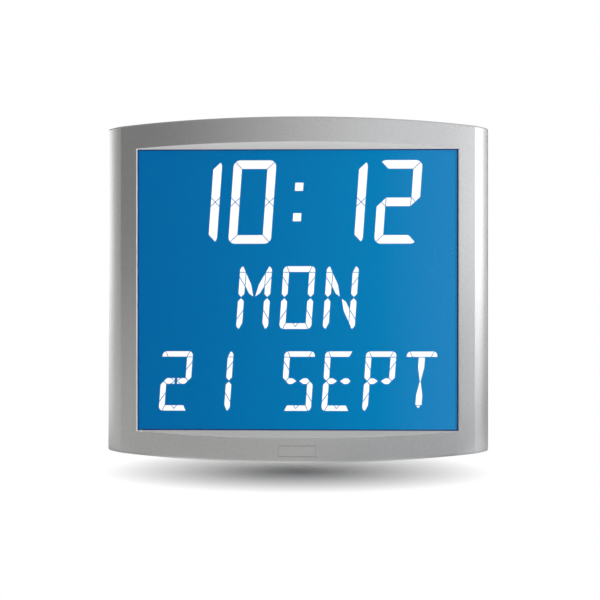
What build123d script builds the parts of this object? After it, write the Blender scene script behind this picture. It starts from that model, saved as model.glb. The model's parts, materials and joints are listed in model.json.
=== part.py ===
from build123d import *
import math
import os

# Digital wall clock with a bowed silver frame round a lit display, for a wall or a shelf.
# Lengths are millimetres. X runs to the right, Y to the back and Z up.
# The origin is under the middle of the case, on the surface that it stands on.

# Clearances
fit_gap = 0.2
running_gap = 0.3
thread_gap = 0.05
overrun = 5.0

# Case
side_rail_width = 14.45
top_rail_height = 20.45
bottom_rail_height = 20.05
bow_depth = 28.0
shoulder_width = 14.0
shoulder_depth = 9.5
shoulder_bulge_depth = 0.6
side_depth = 13.0
crease_radius = 4.0
edge_radius = 2.5
rim_radius = 2.0
bezel_wall = 3.0
cover_depth = 7.5
cover_wall = 2.5
cover_rim_radius = 1.5
tongue_length = 3.0
tongue_wall = 1.6

# Window in the bezel
window_lip = 3.0
window_draft_angle = 0.5
collar_wall = 2.5

# Badge in the lower frame
badge_width = 30.0
badge_height = 8.6
badge_middle = 9.5
badge_thickness = 0.6

# Display cell and backlight
gasket_thickness = 0.5
gasket_inset = 0.4
polariser_thickness = 0.2
front_polariser_overlap = 0.2
rear_polariser_overlap = 2.0
glass_thickness = 1.1
glass_overlap = 3.5
contact_ledge = 3.0
cell_gap = 0.1
seal_width = 2.5
diffuser_thickness = 0.3
guide_thickness = 4.0
reflector_thickness = 0.3
led_depth = 2.0
led_width = 2.8
led_height = 3.5
led_count = 12
led_bar_thickness = 1.0
led_bar_end_gap = 6.35
led_tab_height = 16.0
led_tab_inset = 16.0
led_tab_count = 3

# Display carrier and contact strips
frame_plate = 2.0
frame_wall = 2.0
frame_boss_radius = 3.5
frame_lug_width = 10.0
frame_screw_inset = 42.3
standoff_height = 3.5
standoff_radius = 3.0
standoff_side_inset = 22.3
standoff_end_inset = 17.65
contact_strip_inset = 11.7
contact_strip_thickness = 2.4

# Segment characters, in three rows that set the size of the window
time_text = "1012"
weekday_text = "MON"
date_text = "21 SEPT"
slant_share = 0.071
segment_gap = 0.6
time_cell_width = 36.2
time_cell_height = 70.2
time_stroke_width = 7.7
time_corner_radius = 5.9
time_cell_gap = 9.1
time_row_shift = 0.6
colon_size = 7.4
colon_offset = 12.7
colon_gap = 40.3
weekday_cell_width = 27.2
weekday_cell_height = 52.9
weekday_cell_gap = 9.0
date_cell_width = 25.8
date_cell_height = 50.2
date_cell_gap = 8.2
date_row_shift = 0.3
display_top_margin = 8.55
time_row_gap = 18.3
weekday_row_gap = 18.2
display_bottom_margin = 15.75
display_side_margin = 18.65

# Circuit board and what it carries
board_thickness = 1.6
chip_size = 14.0
chip_height = 1.6
chip_lead_length = 1.2
chip_lead_width = 0.5
chip_lead_pitch = 1.0
chip_lead_thickness = 0.4
chip_leads_per_side = 11
driver_chip_x = 62.0
driver_chip_z = 60.0
controller_z = 25.0
crystal_length = 11.0
crystal_width = 4.6
crystal_height = 3.6
crystal_x = 26.0
regulator_size = 9.0
regulator_height = 4.4
regulator_x = 46.0
regulator_z = -52.0
regulator_tab_length = 2.5
regulator_tab_thickness = 1.2
capacitor_radius = 4.0
capacitor_height = 8.0
capacitor_base_size = 8.4
capacitor_base_height = 1.0
capacitor_rim_radius = 0.6
capacitor_pitch = 11.0
capacitor_x = 70.0
capacitor_z = -52.0
backup_cell_radius = 10.0
backup_cell_height = 3.2
holder_wall = 1.4
holder_floor = 1.0
holder_mouth_width = 13.0
holder_x = -70.0
holder_z = -52.0
terminal_pitch = 5.0
terminal_count = 4
terminal_depth = 8.0
terminal_height = 8.5
terminal_x = 36.0
terminal_mouth_width = 3.6
terminal_mouth_height = 3.0
terminal_mouth_length = 4.5
terminal_mouth_floor = 1.5
terminal_screw_radius = 1.5
terminal_screw_height = 2.0
terminal_slot_width = 0.6
terminal_slot_depth = 0.8

# Setting buttons and their switches
button_radius = 3.0
button_recess = 0.5
button_flange_radius = 3.8
button_flange_height = 1.0
button_flange_gap = 0.4
button_stem_radius = 2.0
button_rim_radius = 0.4
button_travel = 1.2
first_button_x = 40.0
button_pitch = 25.0
switch_size = 6.0
switch_height = 4.5
switch_inset = 0.3
plunger_radius = 1.5
plunger_reach = 3.0
plunger_grip = 1.2

# Rear recesses, cable entry and wall bracket
recess_depth = 4.0
bracket_width = 140.0
bracket_height = 80.0
bracket_plate = 2.0
bracket_corner_radius = 4.0
bracket_top_inset = 49.6
bracket_travel = 10.0
bracket_side_gap = 2.0
bracket_end_gap = 1.0
wall_hole_radius = 2.25
wall_hole_inset = 15.0
hook_width = 14.0
hook_pitch = 70.0
hook_relief = 1.0
hook_finger_height = 9.5
hook_window_height = 14.0
cable_recess_width = 44.0
cable_recess_height = 40.0
cable_middle = 60.0
cable_bore_radius = 3.5
grommet_neck_radius = 6.5
grommet_flange_radius = 9.0
grommet_flange_thickness = 1.5
grommet_rim_radius = 0.5
vent_length = 36.0
vent_width = 3.0
vent_pitch = 7.5
vent_count = 8
vent_side_gap = 14.0

# Screws
case_screw_radius = 1.5
case_screw_length = 12.0
case_screw_head_radius = 2.8
case_screw_head_height = 2.0
case_screw_head_room = 0.4
case_screw_sink = 3.0
case_boss_radius = 4.0
case_boss_room = 1.0
frame_screw_radius = 1.3
frame_screw_length = 9.0
frame_screw_head_radius = 2.6
frame_screw_head_height = 1.8
board_screw_radius = 1.1
board_screw_length = 5.0
board_screw_head_radius = 2.1
board_screw_head_height = 1.6
cross_width = 0.7
cross_depth = 0.9
head_rim_radius = 0.5
screw_end_room = 1.0


def bow_y(x, sunk=0):
    """Depth of the bowed front at x, or of a surface that lies sunk below it all over."""
    return front_y + bow_radius - math.sqrt((bow_radius - sunk) ** 2 - x**2)


def facing(y):
    """Sketch plane at depth y, seen from the front: extruding it comes forward."""
    return Plane.XZ.offset(-y)


# Rows of characters, and the window and case round them
time_pitch = time_cell_width + time_cell_gap
weekday_pitch = weekday_cell_width + weekday_cell_gap
date_pitch = date_cell_width + date_cell_gap
date_row_width = (len(date_text) - 1) * date_pitch + date_cell_width
window_width = date_row_width + 2 * display_side_margin
row_heights = time_cell_height + weekday_cell_height + date_cell_height
row_gaps = time_row_gap + weekday_row_gap
window_height = display_top_margin + row_heights + row_gaps + display_bottom_margin
window_middle = bottom_rail_height + window_height / 2
time_row_z = window_height / 2 - display_top_margin - time_cell_height / 2
date_row_z = display_bottom_margin + date_cell_height / 2 - window_height / 2
weekday_row_z = date_row_z + date_cell_height / 2 + weekday_row_gap + weekday_cell_height / 2
crease_half_width = window_width / 2 + side_rail_width
case_width = 2 * (crease_half_width + shoulder_width)
case_height = bottom_rail_height + window_height + top_rail_height
case_depth = bow_depth + shoulder_depth + side_depth + cover_depth
bow_radius = (crease_half_width**2 + bow_depth**2) / (2 * bow_depth)

# Depths, from the front to the back
front_y = -case_depth / 2
back_y = case_depth / 2
split_y = back_y - cover_depth
crease_y = bow_y(crease_half_width)
shoulder_y = crease_y + shoulder_depth
seat_y = bow_y(window_width / 2) + window_lip
glass_front_y = seat_y + gasket_thickness
cell_front_y = glass_front_y + glass_thickness
cell_rear_y = cell_front_y + cell_gap
glass_rear_y = cell_rear_y + glass_thickness
polariser_rear_y = glass_rear_y + polariser_thickness
diffuser_rear_y = polariser_rear_y + diffuser_thickness
guide_rear_y = diffuser_rear_y + guide_thickness
reflector_rear_y = guide_rear_y + reflector_thickness
frame_rear_y = reflector_rear_y + frame_plate
board_front_y = frame_rear_y + standoff_height
board_rear_y = board_front_y + board_thickness
recess_floor_y = back_y - recess_depth
recess_inner_y = recess_floor_y - cover_wall
case_screw_seat_y = back_y - case_screw_sink

# Sizes of the display layers and their carrier
display_width = window_width + 2 * glass_overlap
display_height = window_height + 2 * glass_overlap
front_glass_height = display_height + 2 * contact_ledge
led_bar_x = display_width / 2 + running_gap + led_depth
frame_inner_width = 2 * (led_bar_x + led_bar_thickness + running_gap)
frame_width = frame_inner_width + 2 * frame_wall
frame_inner_height = front_glass_height + 2 * running_gap
frame_height = frame_inner_height + 2 * frame_wall
frame_lug_height = running_gap + 2 * frame_boss_radius
contact_strip_length = display_width - 2 * contact_strip_inset
contact_strip_z = display_height / 2 + running_gap + contact_strip_thickness / 2
led_bar_length = display_height - 2 * led_bar_end_gap
led_pitch = led_bar_length / led_count
led_tab_pitch = (led_bar_length - led_tab_height - 2 * led_tab_inset) / (led_tab_count - 1)
board_bottom = window_middle - frame_height / 2

# Places of the screws
case_boss_inset = bezel_wall + fit_gap + tongue_wall + case_boss_room + case_boss_radius
case_screw_places = [
    (side * (case_width / 2 - case_boss_inset), height)
    for side in (-1, 1)
    for height in (case_boss_inset, case_height / 2, case_height - case_boss_inset)
]
frame_boss_z = frame_height / 2 + running_gap + frame_boss_radius
frame_screw_pitch = frame_width / 2 - frame_screw_inset
frame_screw_places = [
    (column * frame_screw_pitch, window_middle + side * frame_boss_z)
    for column in (-1, 0, 1)
    for side in (-1, 1)
]
standoff_x = frame_width / 2 - standoff_side_inset
standoff_z = frame_height / 2 - standoff_end_inset
board_screw_places = [
    (column * standoff_x, window_middle + row * standoff_z)
    for column in (-1, 0, 1)
    for row in (-1, 0, 1)
    if column or row
]

# Places of the buttons
button_y = board_rear_y + switch_size / 2
button_xs = {"mode": first_button_x, "set": first_button_x + button_pitch}
switch_bottom = board_bottom + switch_inset
plunger_tip = switch_bottom - plunger_reach
button_flange_bottom = bezel_wall + button_flange_gap

# Places on the back
bracket_middle = case_height - bracket_top_inset - bracket_height / 2
recess_width = bracket_width + 2 * bracket_side_gap
recess_top = bracket_middle + bracket_height / 2 + bracket_end_gap
recess_bottom = bracket_middle - bracket_height / 2 - bracket_travel - bracket_end_gap
recess_height = recess_top - recess_bottom
recess_middle = (recess_top + recess_bottom) / 2
hook_xs = (-hook_pitch / 2, hook_pitch / 2)
hook_leg_top = bracket_middle
hook_leg_bottom = hook_leg_top - bracket_plate
hook_finger_rear_y = recess_inner_y - running_gap
hook_slot_top = hook_leg_top + running_gap
hook_slot_bottom = hook_leg_bottom - bracket_travel - running_gap
wall_hole_x = bracket_width / 2 - wall_hole_inset
wall_hole_z = bracket_height / 2 - wall_hole_inset
wall_hole_places = [
    (side * wall_hole_x, bracket_middle + level * wall_hole_z)
    for side in (-1, 1)
    for level in (-1, 1)
]
cable_place = (0, cable_middle)
vent_x = recess_width / 2 + vent_side_gap + vent_length / 2
vent_places = [
    (side * vent_x, bracket_middle + (row - (vent_count - 1) / 2) * vent_pitch)
    for side in (-1, 1)
    for row in range(vent_count)
]


def draw_case_plan(rear_y):
    """Plan of the case, from the bow in front to a straight edge at the back."""
    half_width = case_width / 2
    left_crease = (-crease_half_width, crease_y)
    right_crease = (crease_half_width, crease_y)
    left_edge = (-half_width, shoulder_y)
    right_edge = (half_width, shoulder_y)
    ThreePointArc(left_crease, (0, front_y), right_crease)
    SagittaArc(right_crease, right_edge, -shoulder_bulge_depth)
    Polyline(right_edge, (half_width, rear_y), (-half_width, rear_y), left_edge)
    SagittaArc(left_edge, left_crease, -shoulder_bulge_depth)


def draw_badge_plan(half_width, sunk):
    """Plan of a plate let into the bow, up to a surface that lies sunk below its front."""
    outer_y = bow_y(half_width, sunk)
    inner_y = bow_y(half_width, badge_thickness)
    ThreePointArc((-half_width, outer_y), (0, bow_y(0, sunk)), (half_width, outer_y))
    Line((half_width, outer_y), (half_width, inner_y))
    ThreePointArc(
        (half_width, inner_y), (0, bow_y(0, badge_thickness)), (-half_width, inner_y)
    )
    Line((-half_width, inner_y), (-half_width, outer_y))


# Front bezel: the solid bow, less the hollow inside it, the window, and the holes
with BuildPart() as bezel_hollow:
    with BuildSketch(Plane.XY.offset(bezel_wall)):
        with BuildLine():
            draw_case_plan(split_y + bezel_wall + overrun)
        make_face()
        offset(amount=-bezel_wall, kind=Kind.INTERSECTION)
    extrude(amount=case_height - 2 * bezel_wall)
    with BuildSketch(facing(seat_y)):
        with Locations((0, window_middle)):
            Rectangle(window_width + 2 * collar_wall, window_height + 2 * collar_wall)
    extrude(amount=seat_y - front_y + overrun, mode=Mode.SUBTRACT)
    with BuildSketch(facing(reflector_rear_y)):
        with Locations(*frame_screw_places):
            Circle(frame_boss_radius)
    extrude(amount=reflector_rear_y - front_y, mode=Mode.SUBTRACT)
    with BuildSketch(facing(split_y)):
        with Locations(*case_screw_places):
            Circle(case_boss_radius)
    extrude(amount=split_y - front_y, mode=Mode.SUBTRACT)
    with BuildSketch(facing(split_y)):
        with Locations((0, window_middle)):
            Rectangle(display_width + 2 * running_gap, frame_inner_height)
    extrude(amount=split_y - seat_y)

with BuildPart() as front_bezel:
    with BuildSketch() as bezel_plan:
        with BuildLine():
            draw_case_plan(split_y)
        make_face()
        fillet(bezel_plan.vertices().group_by(Axis.Y)[-2], edge_radius)
        fillet(bezel_plan.vertices().group_by(Axis.Y)[0], crease_radius)
    extrude(amount=case_height)
    rim_edges = front_bezel.faces().filter_by(Axis.Z).edges()
    fillet(rim_edges.filter_by_position(Axis.Y, front_y, split_y, (True, False)), rim_radius)
    add(bezel_hollow.part, mode=Mode.SUBTRACT)
    with BuildSketch(facing(seat_y)):
        with Locations((0, window_middle)):
            Rectangle(window_width, window_height)
    extrude(
        amount=seat_y - front_y + overrun,
        taper=-window_draft_angle,
        mode=Mode.SUBTRACT,
    )
    with BuildSketch(Plane.XY.offset(badge_middle - badge_height / 2 - fit_gap)):
        with BuildLine():
            draw_badge_plan(badge_width / 2 + fit_gap, -overrun)
        make_face()
    extrude(amount=badge_height + 2 * fit_gap, mode=Mode.SUBTRACT)
    with BuildSketch():
        with Locations(*[(x, button_y) for x in button_xs.values()]):
            Circle(button_radius + running_gap)
    extrude(amount=bezel_wall + overrun, mode=Mode.SUBTRACT)
    with BuildSketch(facing(reflector_rear_y)):
        with Locations(*frame_screw_places):
            Circle(frame_screw_radius + thread_gap)
    extrude(amount=frame_screw_length - frame_plate + screw_end_room, mode=Mode.SUBTRACT)
    with BuildSketch(facing(split_y)):
        with Locations(*case_screw_places):
            Circle(case_screw_radius + thread_gap)
    extrude(
        amount=case_screw_length - (case_screw_seat_y - split_y) + screw_end_room,
        mode=Mode.SUBTRACT,
    )

# Badge plate, left blank
with BuildPart() as badge_plate:
    with BuildSketch(Plane.XY.offset(badge_middle - badge_height / 2)):
        with BuildLine():
            draw_badge_plan(badge_width / 2, 0)
        make_face()
    extrude(amount=badge_height)

# Rear cover: a tray with a tongue inside the bezel, bosses, vents, and two recesses in its back
tongue_outer_inset = bezel_wall + fit_gap
tongue_inner_inset = tongue_outer_inset + tongue_wall
with BuildPart() as rear_cover:
    with BuildSketch(facing(back_y)):
        with Locations((0, case_height / 2)):
            RectangleRounded(case_width, case_height, rim_radius)
    extrude(amount=cover_depth)
    fillet(rear_cover.faces().sort_by(Axis.Y)[-1].edges(), cover_rim_radius)
    with BuildSketch(facing(split_y)):
        with Locations((0, case_height / 2)):
            Rectangle(case_width - 2 * tongue_outer_inset, case_height - 2 * tongue_outer_inset)
    extrude(amount=tongue_length)
    with BuildSketch(facing(back_y - cover_wall)):
        with Locations((0, case_height / 2)):
            Rectangle(case_width - 2 * tongue_inner_inset, case_height - 2 * tongue_inner_inset)
    extrude(amount=cover_depth - cover_wall + tongue_length, mode=Mode.SUBTRACT)
    with BuildSketch(facing(back_y - cover_wall)):
        with Locations(*case_screw_places):
            Circle(case_boss_radius)
    extrude(amount=cover_depth - cover_wall)
    with BuildSketch(facing(back_y - cover_wall)):
        with Locations((0, recess_middle)):
            Rectangle(recess_width + 2 * cover_wall, recess_height + 2 * cover_wall)
        with Locations(cable_place):
            Rectangle(cable_recess_width + 2 * cover_wall, cable_recess_height + 2 * cover_wall)
    extrude(amount=recess_depth)
    with BuildSketch(facing(back_y)):
        with Locations((0, recess_middle)):
            Rectangle(recess_width, recess_height)
        with Locations(cable_place):
            Rectangle(cable_recess_width, cable_recess_height)
    extrude(amount=recess_depth, mode=Mode.SUBTRACT)
    with BuildSketch(facing(recess_floor_y)):
        with Locations(*[(x, (hook_slot_top + hook_slot_bottom) / 2) for x in hook_xs]):
            Rectangle(hook_width + 2 * hook_relief, hook_slot_top - hook_slot_bottom)
        with Locations(cable_place):
            Circle(grommet_neck_radius + fit_gap)
    extrude(amount=cover_wall, mode=Mode.SUBTRACT)
    with BuildSketch(facing(back_y)):
        with Locations(*case_screw_places):
            Circle(case_screw_head_radius + case_screw_head_room)
    extrude(amount=case_screw_sink, mode=Mode.SUBTRACT)
    with BuildSketch(facing(back_y)):
        with Locations(*case_screw_places):
            Circle(case_screw_radius + fit_gap)
    extrude(amount=cover_depth, mode=Mode.SUBTRACT)
    with BuildSketch(facing(back_y)):
        with Locations(*vent_places):
            SlotOverall(vent_length, vent_width)
    extrude(amount=cover_wall, mode=Mode.SUBTRACT)


def make_screws(places, seat_y, radius, length, head_radius, head_height):
    """Pan-head screws driven from the back, with their heads seated at one depth."""
    cross_length = 2 * (head_radius - head_rim_radius - cross_width)
    head_y = seat_y + head_height
    with BuildPart() as screws:
        with BuildSketch(facing(head_y)):
            with Locations(*places):
                Circle(head_radius)
        extrude(amount=head_height)
        fillet(screws.edges().group_by(Axis.Y)[-1], head_rim_radius)
        with BuildSketch(facing(seat_y)):
            with Locations(*places):
                Circle(radius)
        extrude(amount=length)
        with BuildSketch(facing(head_y)):
            with Locations(*places):
                Rectangle(cross_length, cross_width)
                Rectangle(cross_width, cross_length)
        extrude(amount=cross_depth, mode=Mode.SUBTRACT)
    return screws


case_screws = make_screws(
    case_screw_places,
    case_screw_seat_y,
    case_screw_radius,
    case_screw_length,
    case_screw_head_radius,
    case_screw_head_height,
)
frame_screws = make_screws(
    frame_screw_places,
    frame_rear_y,
    frame_screw_radius,
    frame_screw_length,
    frame_screw_head_radius,
    frame_screw_head_height,
)
board_screws = make_screws(
    board_screw_places,
    board_rear_y,
    board_screw_radius,
    board_screw_length,
    board_screw_head_radius,
    board_screw_head_height,
)

# Cable grommet: a rubber ring snapped into the floor of the cable recess
with BuildPart() as cable_grommet:
    with BuildSketch(facing(recess_floor_y + grommet_flange_thickness)):
        with Locations(cable_place):
            Circle(grommet_flange_radius)
    extrude(amount=grommet_flange_thickness)
    with BuildSketch(facing(recess_floor_y)):
        with Locations(cable_place):
            Circle(grommet_neck_radius)
    extrude(amount=cover_wall)
    with BuildSketch(facing(recess_inner_y)):
        with Locations(cable_place):
            Circle(grommet_flange_radius)
    extrude(amount=grommet_flange_thickness)
    fillet(cable_grommet.edges().group_by(Axis.Y)[-1], grommet_rim_radius)
    fillet(cable_grommet.edges().group_by(Axis.Y)[0], grommet_rim_radius)
    with BuildSketch(facing(recess_floor_y + grommet_flange_thickness)):
        with Locations(cable_place):
            Circle(cable_bore_radius)
    extrude(amount=2 * grommet_flange_thickness + cover_wall, mode=Mode.SUBTRACT)

# Wall bracket: a plate with two hooks pressed out of it, pointing up behind the recess floor
with BuildPart() as wall_bracket:
    with BuildSketch(facing(back_y)):
        with Locations((0, bracket_middle)):
            RectangleRounded(bracket_width, bracket_height, bracket_corner_radius)
        with Locations(*wall_hole_places):
            Circle(wall_hole_radius, mode=Mode.SUBTRACT)
        with Locations(*[(x, hook_leg_top + hook_window_height / 2) for x in hook_xs]):
            Rectangle(hook_width + 2 * hook_relief, hook_window_height, mode=Mode.SUBTRACT)
    extrude(amount=bracket_plate)
    with BuildSketch(facing(back_y)):
        with Locations(*[(x, (hook_leg_top + hook_leg_bottom) / 2) for x in hook_xs]):
            Rectangle(hook_width, bracket_plate)
    extrude(amount=back_y - hook_finger_rear_y + bracket_plate)
    with BuildSketch(facing(hook_finger_rear_y)):
        with Locations(*[(x, hook_leg_top + hook_finger_height / 2) for x in hook_xs]):
            Rectangle(hook_width, hook_finger_height)
    extrude(amount=bracket_plate)


def make_button(x):
    """A setting button in the underside, held up against its switch by a flange."""
    with BuildPart() as button:
        with BuildSketch(Plane.XY.offset(button_recess)):
            with Locations((x, button_y)):
                Circle(button_radius)
        extrude(amount=button_flange_bottom - button_recess)
        fillet(button.edges().group_by(Axis.Z)[0], button_rim_radius)
        with BuildSketch(Plane.XY.offset(button_flange_bottom)):
            with Locations((x, button_y)):
                Circle(button_flange_radius)
        extrude(amount=button_flange_height)
        with BuildSketch(Plane.XY.offset(button_flange_bottom + button_flange_height)):
            with Locations((x, button_y)):
                Circle(button_stem_radius)
        extrude(amount=plunger_tip - button_flange_bottom - button_flange_height)
    return button


def make_plunger(x):
    """The plunger of a push switch, between its button and its housing."""
    with BuildPart() as plunger:
        with BuildSketch(Plane.XY.offset(plunger_tip)):
            with Locations((x, button_y)):
                Circle(plunger_radius)
        extrude(amount=plunger_reach + plunger_grip)
    return plunger


buttons = {name: make_button(x) for name, x in button_xs.items()}
plungers = {name: make_plunger(x) for name, x in button_xs.items()}

with BuildPart() as switch_housings:
    with BuildSketch(Plane.XY.offset(switch_bottom)):
        with Locations(*[(x, button_y) for x in button_xs.values()]):
            Rectangle(switch_size, switch_size)
    extrude(amount=switch_height)
    with BuildSketch(Plane.XY.offset(switch_bottom)):
        with Locations(*[(x, button_y) for x in button_xs.values()]):
            Circle(plunger_radius + running_gap)
    extrude(amount=plunger_grip + button_travel + running_gap, mode=Mode.SUBTRACT)


def make_layer(width, height, rear_y, thickness):
    """A flat layer of the display, behind the window."""
    with BuildPart() as layer:
        with BuildSketch(facing(rear_y)):
            with Locations((0, window_middle)):
                Rectangle(width, height)
        extrude(amount=thickness)
    return layer


def make_border(outer_width, outer_height, inner_width, inner_height, rear_y, thickness):
    """A flat frame of the display, behind the window's edge."""
    with BuildPart() as border:
        with BuildSketch(facing(rear_y)):
            with Locations((0, window_middle)):
                Rectangle(outer_width, outer_height)
                Rectangle(inner_width, inner_height, mode=Mode.SUBTRACT)
        extrude(amount=thickness)
    return border


# Display cell and backlight, from the front to the back
window_gasket = make_border(
    window_width + 2 * collar_wall,
    window_height + 2 * collar_wall,
    window_width + 2 * gasket_inset,
    window_height + 2 * gasket_inset,
    glass_front_y,
    gasket_thickness,
)
front_polariser = make_layer(
    window_width + 2 * front_polariser_overlap,
    window_height + 2 * front_polariser_overlap,
    glass_front_y,
    polariser_thickness,
)
lcd_front_glass = make_layer(display_width, front_glass_height, cell_front_y, glass_thickness)
cell_seal = make_border(
    display_width,
    display_height,
    display_width - 2 * seal_width,
    display_height - 2 * seal_width,
    cell_rear_y,
    cell_gap,
)
lcd_rear_glass = make_layer(display_width, display_height, glass_rear_y, glass_thickness)
rear_polariser = make_layer(
    window_width + 2 * rear_polariser_overlap,
    window_height + 2 * rear_polariser_overlap,
    polariser_rear_y,
    polariser_thickness,
)
diffuser_sheet = make_layer(display_width, display_height, diffuser_rear_y, diffuser_thickness)
light_guide = make_layer(display_width, display_height, guide_rear_y, guide_thickness)
reflector_sheet = make_layer(
    display_width, display_height, reflector_rear_y, reflector_thickness
)


def mirrored(outline):
    """The same outline on the other side of the character's cell."""
    return [[(1 - across, up) for across, up in stop] for stop in outline]


def flipped(outline):
    """The same outline in the other half of the character's cell."""
    return [[(across, 1 - up) for across, up in stop] for stop in outline]


def time_outline_shares():
    """Outlines of the digits' segments, as shares of their cell, by name.

    A stop with one point ends a straight side, and one with two points ends an arc.
    """
    stroke_across_share = time_stroke_width / time_cell_width
    stroke_up_share = time_stroke_width / time_cell_height
    round_across_share = time_corner_radius / time_cell_width
    round_up_share = time_corner_radius / time_cell_height
    inner = 1 - stroke_across_share
    centre = 1 - stroke_across_share / 2
    upper = 1 - stroke_up_share
    bar_top = (1 + stroke_up_share) / 2
    bar_bottom = (1 - stroke_up_share) / 2

    def corner(turn):
        """A point on the rounded outer corner, at a share of its quarter turn."""
        angle = turn * math.pi / 2
        across = 1 - round_across_share * (1 - math.cos(angle))
        return (across, 1 - round_up_share * (1 - math.sin(angle)))

    def other(point):
        return (1 - point[0], point[1])

    upper_right = [
        [(inner, bar_top)],
        [(inner, upper)],
        [corner(1 / 2)],
        [corner(1 / 4), corner(0)],
        [(1, bar_top)],
        [(centre, 1 / 2)],
    ]
    top = [
        [(1 - inner, upper)],
        [(inner, upper)],
        [corner(1 / 2)],
        [corner(3 / 4), corner(1)],
        [other(corner(1))],
        [other(corner(3 / 4)), other(corner(1 / 2))],
    ]
    middle = [
        [(1 - inner, bar_top)],
        [(inner, bar_top)],
        [(inner, bar_bottom)],
        [(1 - inner, bar_bottom)],
    ]
    right_inner = [[(inner, bar_top)], [(centre, 1 / 2)], [(inner, bar_bottom)]]
    right_outer = [[(1, bar_top)], [(centre, 1 / 2)], [(1, bar_bottom)]]
    return {
        "top": top,
        "bottom": flipped(top),
        "middle": middle,
        "upper_right": upper_right,
        "lower_right": flipped(upper_right),
        "upper_left": mirrored(upper_right),
        "lower_left": flipped(mirrored(upper_right)),
        "right_inner": right_inner,
        "right_outer": right_outer,
        "left_inner": mirrored(right_inner),
        "left_outer": mirrored(right_outer),
    }


# Outlines of the letters' segments, as shares of their cell
corner_shares = [[(0.8, 0.9)], [(0.895, 1.0)], [(0.969, 0.971), (1.0, 0.9)]]
upper_side_shares = [[(0.8, 0.9)], [(1.0, 0.9)], [(1.0, 0.83)], [(0.8, 0.68)]]
upper_end_shares = [[(1.0, 0.83)], [(0.8, 0.68)], [(0.8, 0.557)], [(0.9, 0.502)], [(1.0, 0.557)]]
lower_end_shares = [[(0.8, 0.31)], [(1.0, 0.15)], [(1.0, 0.443)], [(0.9, 0.498)], [(0.8, 0.443)]]
lower_side_shares = [
    [(0.8, 0.31)],
    [(0.8, 0.1)],
    [(0.895, 0.0)],
    [(0.969, 0.029), (1.0, 0.1)],
    [(1.0, 0.15)],
]
top_bar_shares = [[(0.2, 0.9)], [(0.105, 1.0)], [(0.895, 1.0)], [(0.8, 0.9)]]
bottom_bar_shares = [
    [(0.2, 0.1)],
    [(0.405, 0.1)],
    [(0.495, 0.042)],
    [(0.585, 0.1)],
    [(0.8, 0.1)],
    [(0.895, 0.0)],
    [(0.105, 0.0)],
]
notch_shares = [[(0.405, 0.1)], [(0.585, 0.1)], [(0.495, 0.042)]]
lens_shares = [
    [(0.9, 0.5)],
    [(0.8, 0.553)],
    [(0.675, 0.553)],
    [(0.53, 0.5)],
    [(0.675, 0.447)],
    [(0.8, 0.447)],
]
lens_fill_shares = [[(0.675, 0.553)], [(0.53, 0.553)], [(0.53, 0.5)]]
stem_shares = [
    [(0.39, 0.9)],
    [(0.61, 0.9)],
    [(0.61, 0.73)],
    [(0.525, 0.5)],
    [(0.475, 0.5)],
    [(0.39, 0.73)],
]
diagonal_shares = [
    [(0.8, 0.9)],
    [(0.605, 0.705)],
    [(0.517, 0.507)],
    [(0.67, 0.56)],
    [(0.8, 0.68)],
]
letter_outline_shares = {
    "top": [top_bar_shares],
    "bottom": [bottom_bar_shares, notch_shares],
    "corner_right": [corner_shares],
    "corner_left": [mirrored(corner_shares)],
    "upper_right": [upper_side_shares, upper_end_shares],
    "upper_left": [mirrored(upper_side_shares), mirrored(upper_end_shares)],
    "lower_right": [lower_side_shares, lower_end_shares],
    "lower_left": [mirrored(lower_side_shares), mirrored(lower_end_shares)],
    "middle": [lens_shares, mirrored(lens_shares)],
    "middle_fill": [
        lens_fill_shares,
        flipped(lens_fill_shares),
        mirrored(lens_fill_shares),
        flipped(mirrored(lens_fill_shares)),
    ],
    "stem": [stem_shares, flipped(stem_shares), notch_shares],
    "diagonal_right": [diagonal_shares],
    "diagonal_left": [mirrored(diagonal_shares)],
    "diagonal_down": [flipped(diagonal_shares)],
}

# Segments that are lit in each character
right_side = ["corner_right", "upper_right", "lower_right"]
left_side = ["corner_left", "upper_left", "lower_left"]
upper_loop = ["corner_left", "top", "corner_right"]
lit_letters = {
    "M": left_side + right_side + ["diagonal_left", "diagonal_right"],
    "O": left_side + right_side + ["top", "bottom"],
    "N": left_side + right_side + ["diagonal_left", "diagonal_down"],
    "2": upper_loop + ["upper_right", "middle", "middle_fill", "lower_left", "bottom"],
    "1": right_side,
    "S": upper_loop + ["upper_left", "middle", "lower_right", "bottom"],
    "E": left_side + ["top", "middle", "bottom"],
    "P": upper_loop + ["upper_left", "upper_right", "middle", "lower_left"],
    "T": upper_loop + ["stem"],
    " ": [],
}
right_bars = ["upper_right", "right_inner", "right_outer", "lower_right"]
left_bars = ["upper_left", "left_inner", "left_outer", "lower_left"]
lit_digits = {
    "0": left_bars + right_bars + ["top", "bottom"],
    "1": right_bars,
    "2": ["top", "upper_right", "right_inner", "middle", "left_inner", "lower_left", "bottom"],
}


def cell_point(cell, share):
    """A point of a slanted character cell, whose size and middle are given."""
    width, height, middle_x, middle_z = cell
    across_share = share[0] - 1 / 2
    up_share = share[1] - 1 / 2
    x = middle_x + across_share * width + slant_share * up_share * height
    return (x, window_middle + middle_z + up_share * height)


def draw_segment(cell, outline):
    """One segment's closed outline in its cell."""
    start = cell_point(cell, outline[-1][-1])
    for stop in outline:
        points = [cell_point(cell, share) for share in stop]
        if len(points) == 1:
            Line(start, points[0])
        else:
            ThreePointArc(start, points[0], points[1])
        start = points[-1]


def make_segments(drawings):
    """Lit segments between the two glasses, each shrunk by half the gap round it."""
    with BuildPart() as segments:
        for cell, outline in drawings:
            with BuildSketch(facing(cell_rear_y)):
                with BuildLine():
                    draw_segment(cell, outline)
                make_face()
                offset(amount=-segment_gap / 2, kind=Kind.INTERSECTION)
        extrude(amount=cell_gap)
    return segments


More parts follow.
